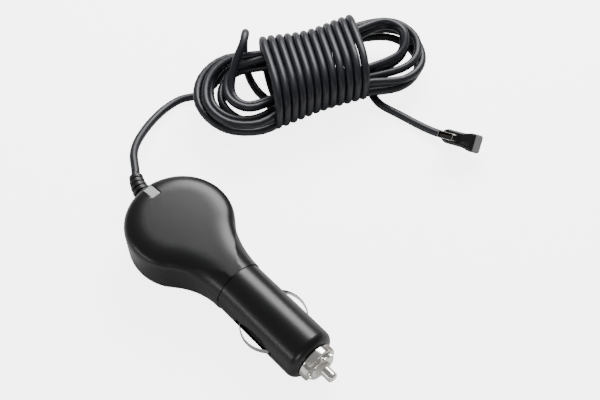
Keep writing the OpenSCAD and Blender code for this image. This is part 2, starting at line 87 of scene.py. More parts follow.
def new_group(name, inputs, outputs):
    tree = bpy.data.node_groups.new(name, "ShaderNodeTree")
    for socket_name, kind, value in inputs:
        socket = tree.interface.new_socket(socket_name, in_out="INPUT", socket_type=kind)
        if value is not None:
            socket.default_value = value
    for socket_name, kind in outputs:
        tree.interface.new_socket(socket_name, in_out="OUTPUT", socket_type=kind)
    return tree, tree.nodes.new("NodeGroupInput"), tree.nodes.new("NodeGroupOutput")


def math_node(tree, operation, *values):
    """The output of a Math node, whose inputs are numbers or sockets to link."""
    node = tree.nodes.new("ShaderNodeMath")
    node.operation = operation
    for socket, value in zip(node.inputs, values):
        if isinstance(value, (int, float)):
            socket.default_value = value
        else:
            tree.links.new(value, socket)
    return node.outputs[0]


def make_grain_group():
    """Fine surface grain: a height for bump, and a slow mottle of colour and gloss."""
    tree, inside, out = new_group(
        "moulded_grain",
        [("Scale", "NodeSocketFloat", 900.0), ("Color", "NodeSocketColor", (0.03, 0.03, 0.03, 1)),
         ("Roughness", "NodeSocketFloat", 0.4), ("Variation", "NodeSocketFloat", 0.12)],
        [("Color", "NodeSocketColor"), ("Roughness", "NodeSocketFloat"), ("Height", "NodeSocketFloat")])
    link = tree.links.new
    coords = tree.nodes.new("ShaderNodeTexCoord")
    fine = tree.nodes.new("ShaderNodeTexNoise")
    fine.inputs["Detail"].default_value = 3
    link(coords.outputs["Object"], fine.inputs["Vector"])
    link(inside.outputs["Scale"], fine.inputs["Scale"])
    slow = tree.nodes.new("ShaderNodeTexNoise")
    slow.inputs["Scale"].default_value = 60
    slow.inputs["Detail"].default_value = 4
    link(coords.outputs["Object"], slow.inputs["Vector"])
    centred = math_node(tree, "SUBTRACT", slow.outputs["Fac"], 0.5)
    amount = math_node(tree, "MULTIPLY", centred, inside.outputs["Variation"])
    shade = tree.nodes.new("ShaderNodeHueSaturation")
    link(inside.outputs["Color"], shade.inputs["Color"])
    link(math_node(tree, "MULTIPLY_ADD", amount, 3, 1), shade.inputs["Value"])
    link(shade.outputs["Color"], out.inputs["Color"])
    link(math_node(tree, "ADD", inside.outputs["Roughness"], amount), out.inputs["Roughness"])
    link(fine.outputs["Fac"], out.inputs["Height"])
    return tree


def make_brush_group():
    """Fine turning or drawing marks that run round the adapter's long axis."""
    tree, inside, out = new_group(
        "turned_marks",
        [("Scale", "NodeSocketFloat", 4000.0), ("Roughness", "NodeSocketFloat", 0.2)],
        [("Roughness", "NodeSocketFloat"), ("Height", "NodeSocketFloat")])
    link = tree.links.new
    coords = tree.nodes.new("ShaderNodeTexCoord")
    stretch = tree.nodes.new("ShaderNodeMapping")
    stretch.inputs["Scale"].default_value = (1, 0.05, 0.05)
    link(coords.outputs["Object"], stretch.inputs["Vector"])
    marks = tree.nodes.new("ShaderNodeTexNoise")
    marks.inputs["Detail"].default_value = 2
    link(stretch.outputs["Vector"], marks.inputs["Vector"])
    link(inside.outputs["Scale"], marks.inputs["Scale"])
    rough = math_node(tree, "MULTIPLY_ADD", marks.outputs["Fac"], 0.12, inside.outputs["Roughness"])
    link(rough, out.inputs["Roughness"])
    link(marks.outputs["Fac"], out.inputs["Height"])
    return tree


grain_group = make_grain_group()
brush_group = make_brush_group()
MARKS_SCALE = 4000
# How deep each kind of surface is, in metres
GRAIN_DEPTH, MARKS_DEPTH, CLEAR_DEPTH = 0.00008, 0.00003, 0.00005


def new_material(name):
    material = bpy.data.materials.new(name)
    material.use_nodes = True
    return material, material.node_tree, material.node_tree.nodes["Principled BSDF"]


def use_group(tree, group_tree, **values):
    group = tree.nodes.new("ShaderNodeGroup")
    group.node_tree = group_tree
    for name, value in values.items():
        group.inputs[name].default_value = value
    return group


def bump(tree, shader, height, strength, distance):
    node = tree.nodes.new("ShaderNodeBump")
    node.inputs["Strength"].default_value = strength
    node.inputs["Distance"].default_value = distance
    tree.links.new(height, node.inputs["Height"])
    tree.links.new(node.outputs["Normal"], shader.inputs["Normal"])


def plastic(name, color, roughness, grain_scale=900, grain=0.15, variation=0.12, coat=0.0, ior=1.5):
    material, tree, shader = new_material(name)
    shader.inputs["IOR"].default_value = ior
    shader.inputs["Coat Weight"].default_value = coat
    shader.inputs["Coat Roughness"].default_value = 0.12
    group = use_group(tree, grain_group, Scale=grain_scale, Color=(*color, 1),
                      Roughness=roughness, Variation=variation)
    tree.links.new(group.outputs["Color"], shader.inputs["Base Color"])
    tree.links.new(group.outputs["Roughness"], shader.inputs["Roughness"])
    bump(tree, shader, group.outputs["Height"], grain, GRAIN_DEPTH)
    return material


def metal(name, color, roughness):
    material, tree, shader = new_material(name)
    shader.inputs["Base Color"].default_value = (*color, 1)
    shader.inputs["Metallic"].default_value = 1
    group = use_group(tree, brush_group, Scale=MARKS_SCALE, Roughness=roughness)
    tree.links.new(group.outputs["Roughness"], shader.inputs["Roughness"])
    bump(tree, shader, group.outputs["Height"], 0.12, MARKS_DEPTH)
    return material


def clear(name, color, roughness, transmission):
    material, tree, shader = new_material(name)
    shader.inputs["Base Color"].default_value = (*color, 1)
    shader.inputs["Transmission Weight"].default_value = transmission
    shader.inputs["IOR"].default_value = 1.49
    group = use_group(tree, grain_group, Scale=500, Roughness=roughness, Variation=0.05)
    tree.links.new(group.outputs["Roughness"], shader.inputs["Roughness"])
    bump(tree, shader, group.outputs["Height"], 0.05, CLEAR_DEPTH)
    return material


ABS_BLACK = (0.005, 0.005, 0.0055)
SOFT_BLACK = (0.015, 0.015, 0.016)
black_abs = plastic("black_abs", ABS_BLACK, 0.3, 2600, 0.2, 0.06, ior=1.46)
black_abs_lower = plastic("black_abs_lower", ABS_BLACK, 0.32, 2600, 0.2, 0.06, ior=1.46)
cord_vinyl = plastic("cord_vinyl", (0.01, 0.0115, 0.017), 0.42, 900, 0.12, 0.08)
relief_vinyl = plastic("relief_vinyl", (0.008, 0.0085, 0.01), 0.42, 900, 0.2, 0.08)
plug_vinyl = plastic("plug_vinyl", (0.005, 0.005, 0.006), 0.26, 900, 0.15, 0.06)
plated_nickel = metal("plated_nickel", (0.86, 0.84, 0.8), 0.08)
spring_steel = metal("spring_steel", (0.75, 0.74, 0.72), 0.14)
black_screw = metal("black_screw", (0.12, 0.12, 0.13), 0.35)
drawn_brass = metal("drawn_brass", (0.8, 0.6, 0.28), 0.2)
gold_plate = metal("gold_plate", (0.95, 0.72, 0.3), 0.12)
solder_bright = metal("solder_bright", (0.75, 0.75, 0.77), 0.3)
nylon = plastic("natural_nylon", (0.75, 0.72, 0.64), 0.4, 900, 0.1, 0.06)
board_green = plastic("board_green", (0.02, 0.13, 0.06), 0.3, 1600, 0.1, 0.1, coat=0.4)
can_sleeve = plastic("can_sleeve", (0.02, 0.03, 0.12), 0.25, 800, 0.05, 0.05, coat=0.3)
ferrite = plastic("ferrite", (0.06, 0.06, 0.065), 0.7, 2200, 0.4)
enamelled_copper = metal("enamelled_copper", (0.7, 0.3, 0.12), 0.25)
chip_epoxy = plastic("chip_epoxy", SOFT_BLACK, 0.6, 2600, 0.3)
led_phosphor = plastic("led_phosphor", (0.85, 0.83, 0.6), 0.35, 900, 0.05)
red_insulation = plastic("red_insulation", (0.45, 0.02, 0.02), 0.35, 900, 0.08)
black_insulation = plastic("black_insulation", SOFT_BLACK, 0.35, 900, 0.08)
tongue_black = plastic("tongue_black", SOFT_BLACK, 0.5, 1500, 0.15)
fuse_glass = clear("fuse_glass", (0.95, 0.98, 0.98), 0.02, 1.0)
lens_acrylic = clear("lens_acrylic", (0.9, 0.92, 0.92), 0.1, 0.4)
paper_white = plastic("paper_white", (0.92, 0.92, 0.92), 0.85, 40, 0.0, 0.0)


def light_the_paper(strength):
    """Makes the floor read as white paper without adding its light to the object."""
    tree = paper_white.node_tree
    shader = tree.nodes["Principled BSDF"]
    shader.inputs["Emission Color"].default_value = (1, 1, 1, 1)
    seen = tree.nodes.new("ShaderNodeLightPath").outputs["Is Camera Ray"]
    tree.links.new(math_node(tree, "MULTIPLY", seen, strength), shader.inputs["Emission Strength"])


light_the_paper(4.5)

NODE_FINISH = {
    "upper_housing": black_abs, "lower_housing": black_abs_lower,
    "housing_screw_1": black_screw, "housing_screw_2": black_screw, "housing_screw_3": black_screw,
    "circuit_board": board_green, "input_capacitor": can_sleeve, "output_capacitor": can_sleeve,
    "inductor_core": ferrite, "inductor_winding": enamelled_copper, "regulator_chip": chip_epoxy,
    "diode": chip_epoxy, "led": led_phosphor, "led_lens": lens_acrylic,
    "wire_supply": red_insulation, "wire_out_plus": red_insulation, "wire_out_minus": black_insulation,
    "wire_ground_left": black_insulation, "wire_ground_right": black_insulation,
    "rear_terminal": drawn_brass, "contact_spring": spring_steel, "fuse_glass": fuse_glass,
    "fuse_cap_front": plated_nickel, "fuse_cap_rear": plated_nickel, "fuse_wire": solder_bright,
    "tip_contact": plated_nickel, "insulating_bush": nylon, "nose_cap": plated_nickel,
    "ground_spring_left": spring_steel, "ground_spring_right": spring_steel,
    "strain_relief": relief_vinyl, "cord_exit": cord_vinyl, "cord_hank": cord_vinyl,
    "cord_plug_end": cord_vinyl, "plug_housing": plug_vinyl, "plug_shell": plated_nickel,
    "plug_tongue": tongue_black, "plug_contacts": gold_plate,
}
for node, finish in NODE_FINISH.items():
    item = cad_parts[node]
    item.data.materials.clear()
    item.data.materials.append(finish)

# --- Floor --------------------------------------------------------------------

FLOOR_M = 6
bpy.ops.object.select_all(action="DESELECT")
bpy.ops.mesh.primitive_plane_add(size=FLOOR_M, location=(0, 0, 0))
floor = bpy.context.object
floor.name = "floor"
floor.data.materials.append(paper_white)


# --- Ways of making a piece ---------------------------------------------------

def mm(*sizes):
    """Millimetres as metres, which the scene is in."""
    return tuple(size * MM for size in sizes)


def only(piece):
    """Selects this piece alone and makes it the active one."""
    bpy.ops.object.select_all(action="DESELECT")
    piece.select_set(True)
    bpy.context.view_layer.objects.active = piece


def added(name):
    """Names the primitive that was just added, and puts its place in its mesh."""
    piece = bpy.context.object
    piece.name = name
    only(piece)
    bpy.ops.object.transform_apply(location=True, rotation=True, scale=True)
    return piece


def block(name, low, high):
    low, high = Vector(low) * MM, Vector(high) * MM
    bpy.ops.object.select_all(action="DESELECT")
    bpy.ops.mesh.primitive_cube_add(size=1, location=(low + high) / 2, scale=high - low)
    return added(name)


def post(name, x, y, z0, z1, radius, sides):
    bpy.ops.object.select_all(action="DESELECT")
    bpy.ops.mesh.primitive_cylinder_add(vertices=sides, radius=radius * MM, depth=(z1 - z0) * MM,
                                        location=mm(x, y, (z0 + z1) / 2))
    return added(name)


def extrude(x, y, z):
    """Extrudes what is selected in edit mode, in millimetres."""
    bpy.ops.mesh.extrude_region_move(TRANSFORM_OT_translate={"value": mm(x, y, z)})


def turned(name, profile, sides=96):
    """A turned solid along the adapter's axis: a disc, then an extrusion for each (x, radius)."""
    bpy.ops.object.select_all(action="DESELECT")
    x, radius = profile[0]
    bpy.ops.mesh.primitive_circle_add(vertices=sides, radius=radius * MM, fill_type="NGON",
                                      location=mm(x, 0, AXIS_Z), rotation=(0, radians(90), 0))
    piece = added(name)
    bpy.ops.object.mode_set(mode="EDIT")
    bpy.ops.mesh.select_all(action="SELECT")
    for next_x, next_radius in profile[1:]:
        extrude(next_x - x, 0, 0)
        change = next_radius / radius
        bpy.ops.transform.resize(value=(1, change, change), center_override=mm(next_x, 0, AXIS_Z))
        x, radius = next_x, next_radius
    bpy.ops.object.mode_set(mode="OBJECT")
    outward(piece)
    return piece


def outward(piece):
    """Merges doubled points and points every face outwards, ending in object mode."""
    only(piece)
    bpy.ops.object.mode_set(mode="EDIT")
    bpy.ops.mesh.select_all(action="SELECT")
    bpy.ops.mesh.remove_doubles(threshold=0.000001)
    bpy.ops.mesh.normals_make_consistent(inside=False)
    bpy.ops.object.mode_set(mode="OBJECT")


def choose(piece, kind, test):
    """Leaves the piece in edit mode with only the points, edges or faces that pass the test selected."""
    only(piece)
    bpy.ops.object.mode_set(mode="EDIT")
    bpy.ops.mesh.select_mode(type=kind)
    bpy.ops.mesh.select_all(action="DESELECT")
    bpy.ops.object.mode_set(mode="OBJECT")
    mesh = piece.data
    if kind == "FACE":
        for face in mesh.polygons:
            face.select = test(face.center / MM, face.normal)
    elif kind == "EDGE":
        for edge in mesh.edges:
            edge.select = test(*(mesh.vertices[i].co / MM for i in edge.vertices))
    else:
        for vertex in mesh.vertices:
            vertex.select = test(vertex.co / MM)
    bpy.ops.object.mode_set(mode="EDIT")


def round_over(piece, width, segments, test):
    """Rounds the edges that pass the test."""
    choose(piece, "EDGE", test)
    bpy.ops.mesh.bevel(offset=width * MM, segments=segments, profile=0.5, affect="EDGES")
    bpy.ops.object.mode_set(mode="OBJECT")


def combine(piece, tool, operation):
    """Adds, cuts or keeps the tool's shape in the piece, takes the tool away and selects the piece."""
    only(piece)
    step = piece.modifiers.new(operation.lower(), "BOOLEAN")
    step.operation = operation
    step.object = tool
    step.solver = "EXACT"
    bpy.ops.object.modifier_apply(modifier=step.name)
    only(tool)
    bpy.ops.object.delete()
    only(piece)


def soften(piece, width, angle=35, segments=2):
    """Rounds every sharp edge slightly, as a moulding or a deburred part is."""
    only(piece)
    step = piece.modifiers.new("soft_edges", "BEVEL")
    step.width = width * MM
    step.segments = segments
    step.limit_method = "ANGLE"
    step.angle_limit = radians(angle)
    bpy.ops.object.modifier_apply(modifier=step.name)


def finished(piece, finish, body, nodes, angle=32):
    """Smooths and colours a piece, and says what it rides on and which nodes it stands for."""
    only(piece)
    bpy.ops.object.shade_smooth_by_angle(angle=radians(angle))
    even = piece.modifiers.new("even_normals", "WEIGHTED_NORMAL")
    even.keep_sharp = True
    bpy.ops.object.modifier_apply(modifier=even.name)
    piece.data.materials.clear()
    piece.data.materials.append(finish)
    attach(piece, body)
    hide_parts(*nodes)


# --- Housing shells -----------------------------------------------------------

# The model's own sizes, in millimetres
AXIS_Z = 10.5
BARREL_R, BARREL_BORE_R = 10.4, 8.6
NOSE_ROUND = 3.5
SEAM_Z, TOP_Z = 4.6, 21
WALL = 1.8
PADDLE_X, PADDLE_R = -32, 21.5
FLARE_X, NECK_R, STEP_X = -2, 10.5, 2
FLARE_R = (30 ** 2 + NECK_R ** 2 - PADDLE_R ** 2) / (2 * (PADDLE_R - NECK_R))
FRONT_X, SLEEVE_X = 43, 32
SLOT_X, BOW_L, STRIP_W = 12.5, 18.5, 2.6
SLOT_GAP = 0.3
SCREWS = [(-32, 17), (-32, -17), (-7, 0)]
# The crown of the paddle's top: how far it drops to the rim, how far in it reaches, and how full it is
CROWN_DROP, CROWN_REACH, FULLNESS = 5.5, 9.6, 0.77


def outline(draw_in):
    """The paddle's outline, drawn in: one side from the front, round the rear, and the other side back."""
    flare_a = atan2(NECK_R + FLARE_R, FLARE_X - PADDLE_X)
    half = [(STEP_X + 6, draw_in - NECK_R), (STEP_X - 1, draw_in - NECK_R)]
    for i in range(25):
        a = pi / 2 - i * (pi / 2 - flare_a) / 25
        half.append((FLARE_X - (FLARE_R + draw_in) * cos(a), (FLARE_R + draw_in) * sin(a) - NECK_R - FLARE_R))
    for i in range(45):
        a = flare_a + i * (pi - flare_a) / 45
        half.append((PADDLE_X + (PADDLE_R - draw_in) * cos(a), (draw_in - PADDLE_R) * sin(a)))
    return half + [(PADDLE_X - PADDLE_R + draw_in, 0)] + [(x, -y) for x, y in reversed(half)]


def rounded_rim(z, radius, draw_in, side):
    """Levels of a quarter round that ends flat at z: side is 1 for a top rim and -1 for a bottom one."""
    levels = [(z - side * radius * (1 - sin(radians(a))), draw_in + radius * (1 - cos(radians(a))))
              for a in range(0, 91, 10)]
    return levels if side > 0 else levels[::-1]


def crowned_top():
    """Levels of a top that curves all the way in, steep at its rim and nearly flat at its middle."""
    levels = []
    for i in range(15):
        a = radians(90 * i / 14)
        levels.append((TOP_Z - CROWN_DROP * (1 - sin(a) ** FULLNESS), CROWN_REACH * (1 - cos(a) ** FULLNESS)))
    return levels


def paddle_slab(name, levels):
    """The paddle and its neck: a disc drawn out to the outline, then extruded from level to level."""
    now = outline(levels[0][1])
    bpy.ops.object.select_all(action="DESELECT")
    bpy.ops.mesh.primitive_circle_add(vertices=len(now), radius=PADDLE_R * MM, fill_type="NGON",
                                      location=mm(PADDLE_X, 0, levels[0][0]))
    slab = added(name)
    for vertex, (x, y) in zip(slab.data.vertices, now):
        vertex.co.xy = mm(x, y)
    for (z, _), (next_z, draw_in) in zip(levels, levels[1:]):
        bpy.ops.object.mode_set(mode="EDIT")
        extrude(0, 0, next_z - z)
        bpy.ops.object.mode_set(mode="OBJECT")
        after = outline(draw_in)
        for vertex in slab.data.vertices:
            if vertex.select:
                x, y = vertex.co.x / MM, vertex.co.y / MM
                k = min(range(len(now)), key=lambda n: (now[n][0] - x) ** 2 + (now[n][1] - y) ** 2)
                vertex.co.xy = mm(*after[k])
        now = after
    outward(slab)
    return slab


def neck_cone(draw_in):
    """What draws the paddle's corners in to the barrel's round section along the flare."""
    reach = [(STEP_X - 3 * i, BARREL_R + 0.4 - draw_in + (3 * i) ** 2 / 60) for i in range(10, -1, -1)]
    return turned("neck_cone", [(-56, 60), (STEP_X - 30.1, 60)] + reach, 128)


def barrel(name, x0):
    quarter = [(FRONT_X - NOSE_ROUND + NOSE_ROUND * sin(radians(a)),
                BARREL_R - NOSE_ROUND + NOSE_ROUND * cos(radians(a))) for a in range(0, 91, 9)]
    return turned(name, [(x0, BARREL_R)] + quarter, 128)


def strip_slots(piece):
    """Cuts the two slots that the ground springs' bows come out of."""
    half_w = STRIP_W / 2 + SLOT_GAP
    for side in (1, -1):
        y = side * BARREL_R
        combine(piece, block("slot", (SLOT_X - SLOT_GAP, y - 5, AXIS_Z - half_w),
                             (SLOT_X + BOW_L + SLOT_GAP, y + 5, AXIS_Z + half_w)), "DIFFERENCE")


def make_shell(name, levels, tube_box, tube_step, room_levels):
    """The paddle's share of a shell with its neck drawn in, the barrel's share joined on, and both hollow."""
    shell = paddle_slab(name, levels)
    combine(shell, neck_cone(0), "INTERSECT")
    tube = barrel("tube", STEP_X - 1)
    combine(tube, block("tube_box", *tube_box), tube_step)
    combine(shell, tube, "UNION")
    room = paddle_slab("room", room_levels)
    combine(room, neck_cone(WALL), "INTERSECT")
    combine(shell, room, "DIFFERENCE")
    combine(shell, turned("bore", [(-0.8, BARREL_BORE_R), (36, BARREL_BORE_R)]), "DIFFERENCE")
    return shell


def make_upper_shell():
    shell = make_shell("upper_shell", [(SEAM_Z, 0.3), (SEAM_Z + 0.3, 0)] + crowned_top(),
                       ((-10, -20, -5), (SLEEVE_X, 20, SEAM_Z)), "DIFFERENCE",
                       [(SEAM_Z - 1, WALL)] + rounded_rim(TOP_Z - WALL, 2.7, WALL, 1))
    combine(shell, turned("cap_bore", [(33.5, 6.085), (44, 6.085)]), "DIFFERENCE")
    combine(shell, turned("relief_hole", [(-54.5, 3), (-49.7, 3)]), "DIFFERENCE")
    combine(shell, block("lens_hole", (-51.45, -2.15, 14.5), (-45.15, 2.15, 25)), "DIFFERENCE")
    strip_slots(shell)
    return shell


def make_lower_shell():
    shell = make_shell("lower_shell", rounded_rim(0, 4.2, 0, -1) + [(SEAM_Z - 0.3, 0), (SEAM_Z, 0.3)],
                       ((-10, -20, -5), (SLEEVE_X - 0.15, 20, SEAM_Z - 0.15)), "INTERSECT",
                       rounded_rim(WALL, 2.2, WALL, -1) + [(SEAM_Z + 1, WALL)])
    for x, y in SCREWS:
        combine(shell, post("boss", x, y, 0.5, SEAM_Z - 0.1, 2.9, 48), "UNION")
        combine(shell, post("recess", x, y, -1, 2.2, 2.3, 48), "DIFFERENCE")
        combine(shell, post("hole", x, y, -1, 6, 1.2, 32), "DIFFERENCE")
    return shell


for shell, finish, slot, node in (
        (make_upper_shell(), black_abs, "housing_plastic", "upper_housing"),
        (make_lower_shell(), black_abs_lower, "lower_plastic", "lower_housing")):
    soften(shell, 0.14)
    finished(shell, finish, "housing", [node])


# --- Nose ---------------------------------------------------------------------

KNURL_TEETH = 40
# Where the first of the four spanner notches is, in degrees round the axis
NOTCH_AT = 48


def from_front(*profile):
    """A turned profile whose places are given from the barrel's front end."""
    return [(FRONT_X + x, radius) for x, radius in profile]


def make_screw_cap():
    """The cap that holds the fuse: threaded spigot, smooth ring with four spanner notches, and a knurl."""
    thread = [point for i in range(4, 0, -1) for point in ((-0.85 - i, 6), (-0.5 - i, 5.65), (-0.15 - i, 6))]
    cap = turned("screw_cap", from_front(
        (-6.5, 5.7), (-6.2, 6), *thread, (0.15, 6), (0.15, 7.2), (0.25, 7.4), (0.45, 7.5), (2.7, 7.5),
        (2.95, 7.44), (3.12, 7.3), (3.2, 7.05), (3.2, 5.45), (4.6, 5.45), (4.8, 5.3)), 160)
    for i in range(4):
        notch = block("notch", (FRONT_X + 0.8, -1.3, AXIS_Z + 6.1), (FRONT_X + 3.6, 1.3, AXIS_Z + 9))
        bpy.ops.transform.rotate(value=radians(90 * i + NOTCH_AT), orient_axis="X",
                                 center_override=mm(0, 0, AXIS_Z))
        bpy.ops.object.transform_apply(location=True, rotation=True, scale=True)
        combine(cap, notch, "DIFFERENCE")
    knurl = turned("knurl", from_front((3, 5.6), (3.3, 5.8), (4.4, 5.8), (4.65, 5.55)), 2 * KNURL_TEETH)
    choose(knurl, "VERT", lambda p: round(Vector((p.y, p.z - AXIS_Z)).angle_signed(Vector((0, 1)), 0)
                                          / (pi / KNURL_TEETH)) % 2 == 1)
    bpy.ops.transform.resize(value=(1, 0.93, 0.93), center_override=mm(0, 0, AXIS_Z))
    bpy.ops.object.mode_set(mode="OBJECT")
    combine(cap, knurl, "UNION")
    combine(cap, turned("bush_bore", from_front((-8, 4.905), (4, 4.905))), "DIFFERENCE")
    combine(cap, turned("collar_bore", from_front((0, 3.18), (9, 3.18))), "DIFFERENCE")
    return cap


finished(make_screw_cap(), plated_nickel, "cap", ["nose_cap"])

tip_round = [(9.5 + sin(radians(a)), 1.1 + cos(radians(a))) for a in range(0, 91, 10)]
tip_pin = turned("tip_pin", from_front((0.2, 3.9), (0.3, 3.99), (1.3, 3.99), (1.4, 3.9), (1.4, 2.35),
                                       (5.7, 2.35), (5.8, 2.25), (5.8, 2.1), *tip_round))
finished(tip_pin, plated_nickel, "plunger", ["tip_contact"])

bush = turned("bush_collar", from_front((-5.5, 4.825), (3.85, 4.825), (3.85, 3.1), (5.35, 3.1), (5.53, 3.03),
                                        (5.6, 2.85), (5.6, 2.55)))
combine(bush, turned("pin_room", from_front((-7, 4.075), (1.4, 4.075))), "DIFFERENCE")
combine(bush, turned("stem_room", from_front((0, 2.43), (7, 2.43))), "DIFFERENCE")
finished(bush, nylon, "bush", ["insulating_bush"])


def make_coil_spring():
    """A coil behind the fuse, swept round from one round section of its wire, and where its rear end is."""
    low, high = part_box("contact_spring")
    low, high = Vector(low) / MM, Vector(high) / MM
    wire_r, coil_r, coils, steps = 0.3, 2.2, 5, 20
    bpy.ops.object.select_all(action="DESELECT")
    bpy.ops.mesh.primitive_circle_add(vertices=10, radius=wire_r * MM, fill_type="NGON",
                                      location=mm(low.x + wire_r, 0, AXIS_Z + coil_r),
                                      rotation=(radians(90), 0, 0))
    coil = added("coil_spring")
    bpy.ops.object.mode_set(mode="EDIT")
    bpy.ops.mesh.select_all(action="SELECT")
    rise = (high.x - low.x - 2 * wire_r) / (coils * steps)
    for i in range(coils * steps):
        extrude(rise, 0, 0)
        bpy.ops.transform.rotate(value=radians(360 / steps), orient_axis="X",
                                 center_override=mm(0, 0, AXIS_Z))
    bpy.ops.object.mode_set(mode="OBJECT")
    outward(coil)
    return coil, low.x


coil_spring, coil_rear = make_coil_spring()
finished(coil_spring, spring_steel, "housing", ["contact_spring"], 40)
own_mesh(coil_spring)


# --- Ground springs -----------------------------------------------------------

FOOT_L, FOOT_DEPTH, BOW_PROUD = 3, 0.7, 2.8


def make_ground_strip(name, side):
    """A flat foot, an arched bow and a second foot, extruded edge by edge, then given its thickness."""
    foot_y, rise = BARREL_R - WALL - FOOT_DEPTH, BOW_PROUD + WALL + FOOT_DEPTH
    bow_r = (BOW_L ** 2 / 4 + rise ** 2) / (2 * rise)
    line = [(SLOT_X + BOW_L * i / 24, foot_y + rise - bow_r
             + (bow_r ** 2 - (BOW_L * (i / 24 - 0.5)) ** 2) ** 0.5) for i in range(25)]
    line.append((SLOT_X + BOW_L + FOOT_L, foot_y))
    foot = mm(SLOT_X - FOOT_L / 2, side * foot_y, AXIS_Z)
    bpy.ops.object.select_all(action="DESELECT")
    bpy.ops.mesh.primitive_plane_add(size=1, location=foot, rotation=(radians(90), 0, 0))
    strip = added(name)
    bpy.ops.transform.resize(value=(FOOT_L * MM, 1, STRIP_W * MM), center_override=foot)
    bpy.ops.object.transform_apply(location=True, rotation=True, scale=True)
    choose(strip, "EDGE", lambda a, b: min(a.x, b.x) > SLOT_X - 0.1)
    x, y = SLOT_X, foot_y
    for next_x, next_y in line[1:]:
        extrude(next_x - x, side * (next_y - y), 0)
        x, y = next_x, next_y
    bpy.ops.object.mode_set(mode="OBJECT")
    outward(strip)
    thick = strip.modifiers.new("thickness", "SOLIDIFY")
    thick.thickness = 0.4 * MM
    thick.offset = 0
    thick.use_even_offset = True
    bpy.ops.object.modifier_apply(modifier=thick.name)
    soften(strip, 0.1, 50)
    outward(strip)
    return strip


for side, way in (("left", -1), ("right", 1)):
    finished(make_ground_strip("ground_strip_" + side, way), spring_steel, "ground_" + side,
             ["ground_spring_" + side], 40)


# --- Indicator window and strain relief ---------------------------------------

def make_light_window():
    """A clear block let flush into the rear of the paddle, with a stem down to the light on the board."""
    window = paddle_slab("light_window", [(SEAM_Z + 0.3, 0)] + crowned_top())
    combine(window, block("cut", (-51.3, -2, 17.2), (-45.3, 1.7, 22)), "INTERSECT")
    combine(window, block("groove", (-49.6, -1.4, 20.6), (-49.2, 1.1, 22)), "DIFFERENCE")
    combine(window, block("stem", (-48.7, -1.5, 10), (-45.4, 1.5, 18.2)), "UNION")
    soften(window, 0.18, 30, 3)
    return window


finished(make_light_window(), lens_acrylic, "housing", ["led_lens"])

RELIEF_X, RELIEF_BEND_R, RELIEF_BEND = -53.8, 20.14, 33
BANDS = 5
BEND_STEPS = 12


def choose_last(piece):
    """Selects the end face, the one furthest along the bend."""
    end = min(face.center.x for face in piece.data.polygons) / MM
    choose(piece, "FACE", lambda middle, normal: middle.x < end + 0.001)


def make_relief_boot():
    """A bent core with five moulded bands that get smaller towards the lead."""
    boot = turned("relief_boot", [(-49.8, 4), (-49.9, 4.1), (-50.9, 4.1), (-51, 2.95), (-54, 2.95),
                                  (-54.3, 2.7)])
    choose(boot, "FACE", lambda middle, normal: middle.x < -54.2)
    extrude(-0.1, 0, 0)
    bpy.ops.transform.resize(value=(1, 0.85, 0.85), center_override=mm(0, 0, AXIS_Z))
    bpy.ops.object.mode_set(mode="OBJECT")
    for i in range(BEND_STEPS):
        a, b = (radians(k * RELIEF_BEND / BEND_STEPS) for k in (i, i + 1))
        choose_last(boot)
        extrude(-RELIEF_BEND_R * (sin(b) - sin(a)), RELIEF_BEND_R * (cos(a) - cos(b)), 0)
        bpy.ops.object.mode_set(mode="OBJECT")
    outward(boot)
    band = turned("band", [(-0.95, 0.86), (-0.9, 0.94), (-0.75, 0.99), (-0.5, 1), (0.5, 1), (0.75, 0.99),
                           (0.9, 0.94), (0.95, 0.86)], 64)
    for i in range(BANDS):
        a = radians((i + 0.5) * RELIEF_BEND / BANDS)
        copy = band.copy()
        copy.data = band.data.copy()
        bpy.context.scene.collection.objects.link(copy)
        radius = 3.85 - 0.25 * i
        to_axis = Matrix.Translation(mm(0, 0, -AXIS_Z))
        place = Matrix.Translation(mm(RELIEF_X - RELIEF_BEND_R * sin(a),
                                      RELIEF_BEND_R * (1 - cos(a)), AXIS_Z))
        copy.matrix_world = (place @ Matrix.Rotation(-a, 4, "Z")
                             @ Matrix.Diagonal((1, radius, radius, 1)) @ to_axis)
        only(copy)
        bpy.ops.object.transform_apply(location=True, rotation=True, scale=True)
        combine(boot, copy, "UNION")
    only(band)
    bpy.ops.object.delete()
    return boot


finished(make_relief_boot(), relief_vinyl, "housing", ["strain_relief"])

# --- Plug ---------------------------------------------------------------------

# X runs on from the lead, and the metal sleeve points along Z, before the plug is put in its place
PLUG_PLACE = (Matrix.Translation(Vector(mm(3.5, 114.2, 4))) @ Matrix.Rotation(radians(15), 4, "Z")
              @ Matrix.Rotation(radians(-15), 4, "Y") @ Matrix.Rotation(radians(40), 4, "X"))


def put_in_plug(piece):
    """Turns a piece of the plug into its place at the lead's end."""
    only(piece)
    piece.matrix_world = PLUG_PLACE
    bpy.ops.object.transform_apply(location=True, rotation=True, scale=True)
    return piece


def make_plug_moulding():
    """A rounded bar that narrows to the lead and swells at its far end, as a grip."""
    bar = block("plug_moulding", (2.5, -3.1, -4.2), (11, 3.1, 4.2))
    choose(bar, "FACE", lambda middle, normal: normal.x < -0.9)
    extrude(-2.5, 0, 0)
    bpy.ops.transform.resize(value=(1, 0.68, 0.52), center_override=(0, 0, 0))
    bpy.ops.object.mode_set(mode="OBJECT")
    for reach, wide, high in ((3, 1.27, 1.17), (2, 1, 1)):
        end = max(vertex.co.x for vertex in bar.data.vertices) / MM
        choose(bar, "FACE", lambda middle, normal: middle.x > end - 0.01)
        extrude(reach, 0, 0)
        bpy.ops.transform.resize(value=(1, wide, high), center_override=(0, 0, 0))
        bpy.ops.object.mode_set(mode="OBJECT")
    round_over(bar, 1.1, 5, lambda a, b: True)
    combine(bar, block("sleeve_room", (1.97, -1.53, 0.5), (8.83, 1.53, 9)), "DIFFERENCE")
    return put_in_plug(bar)


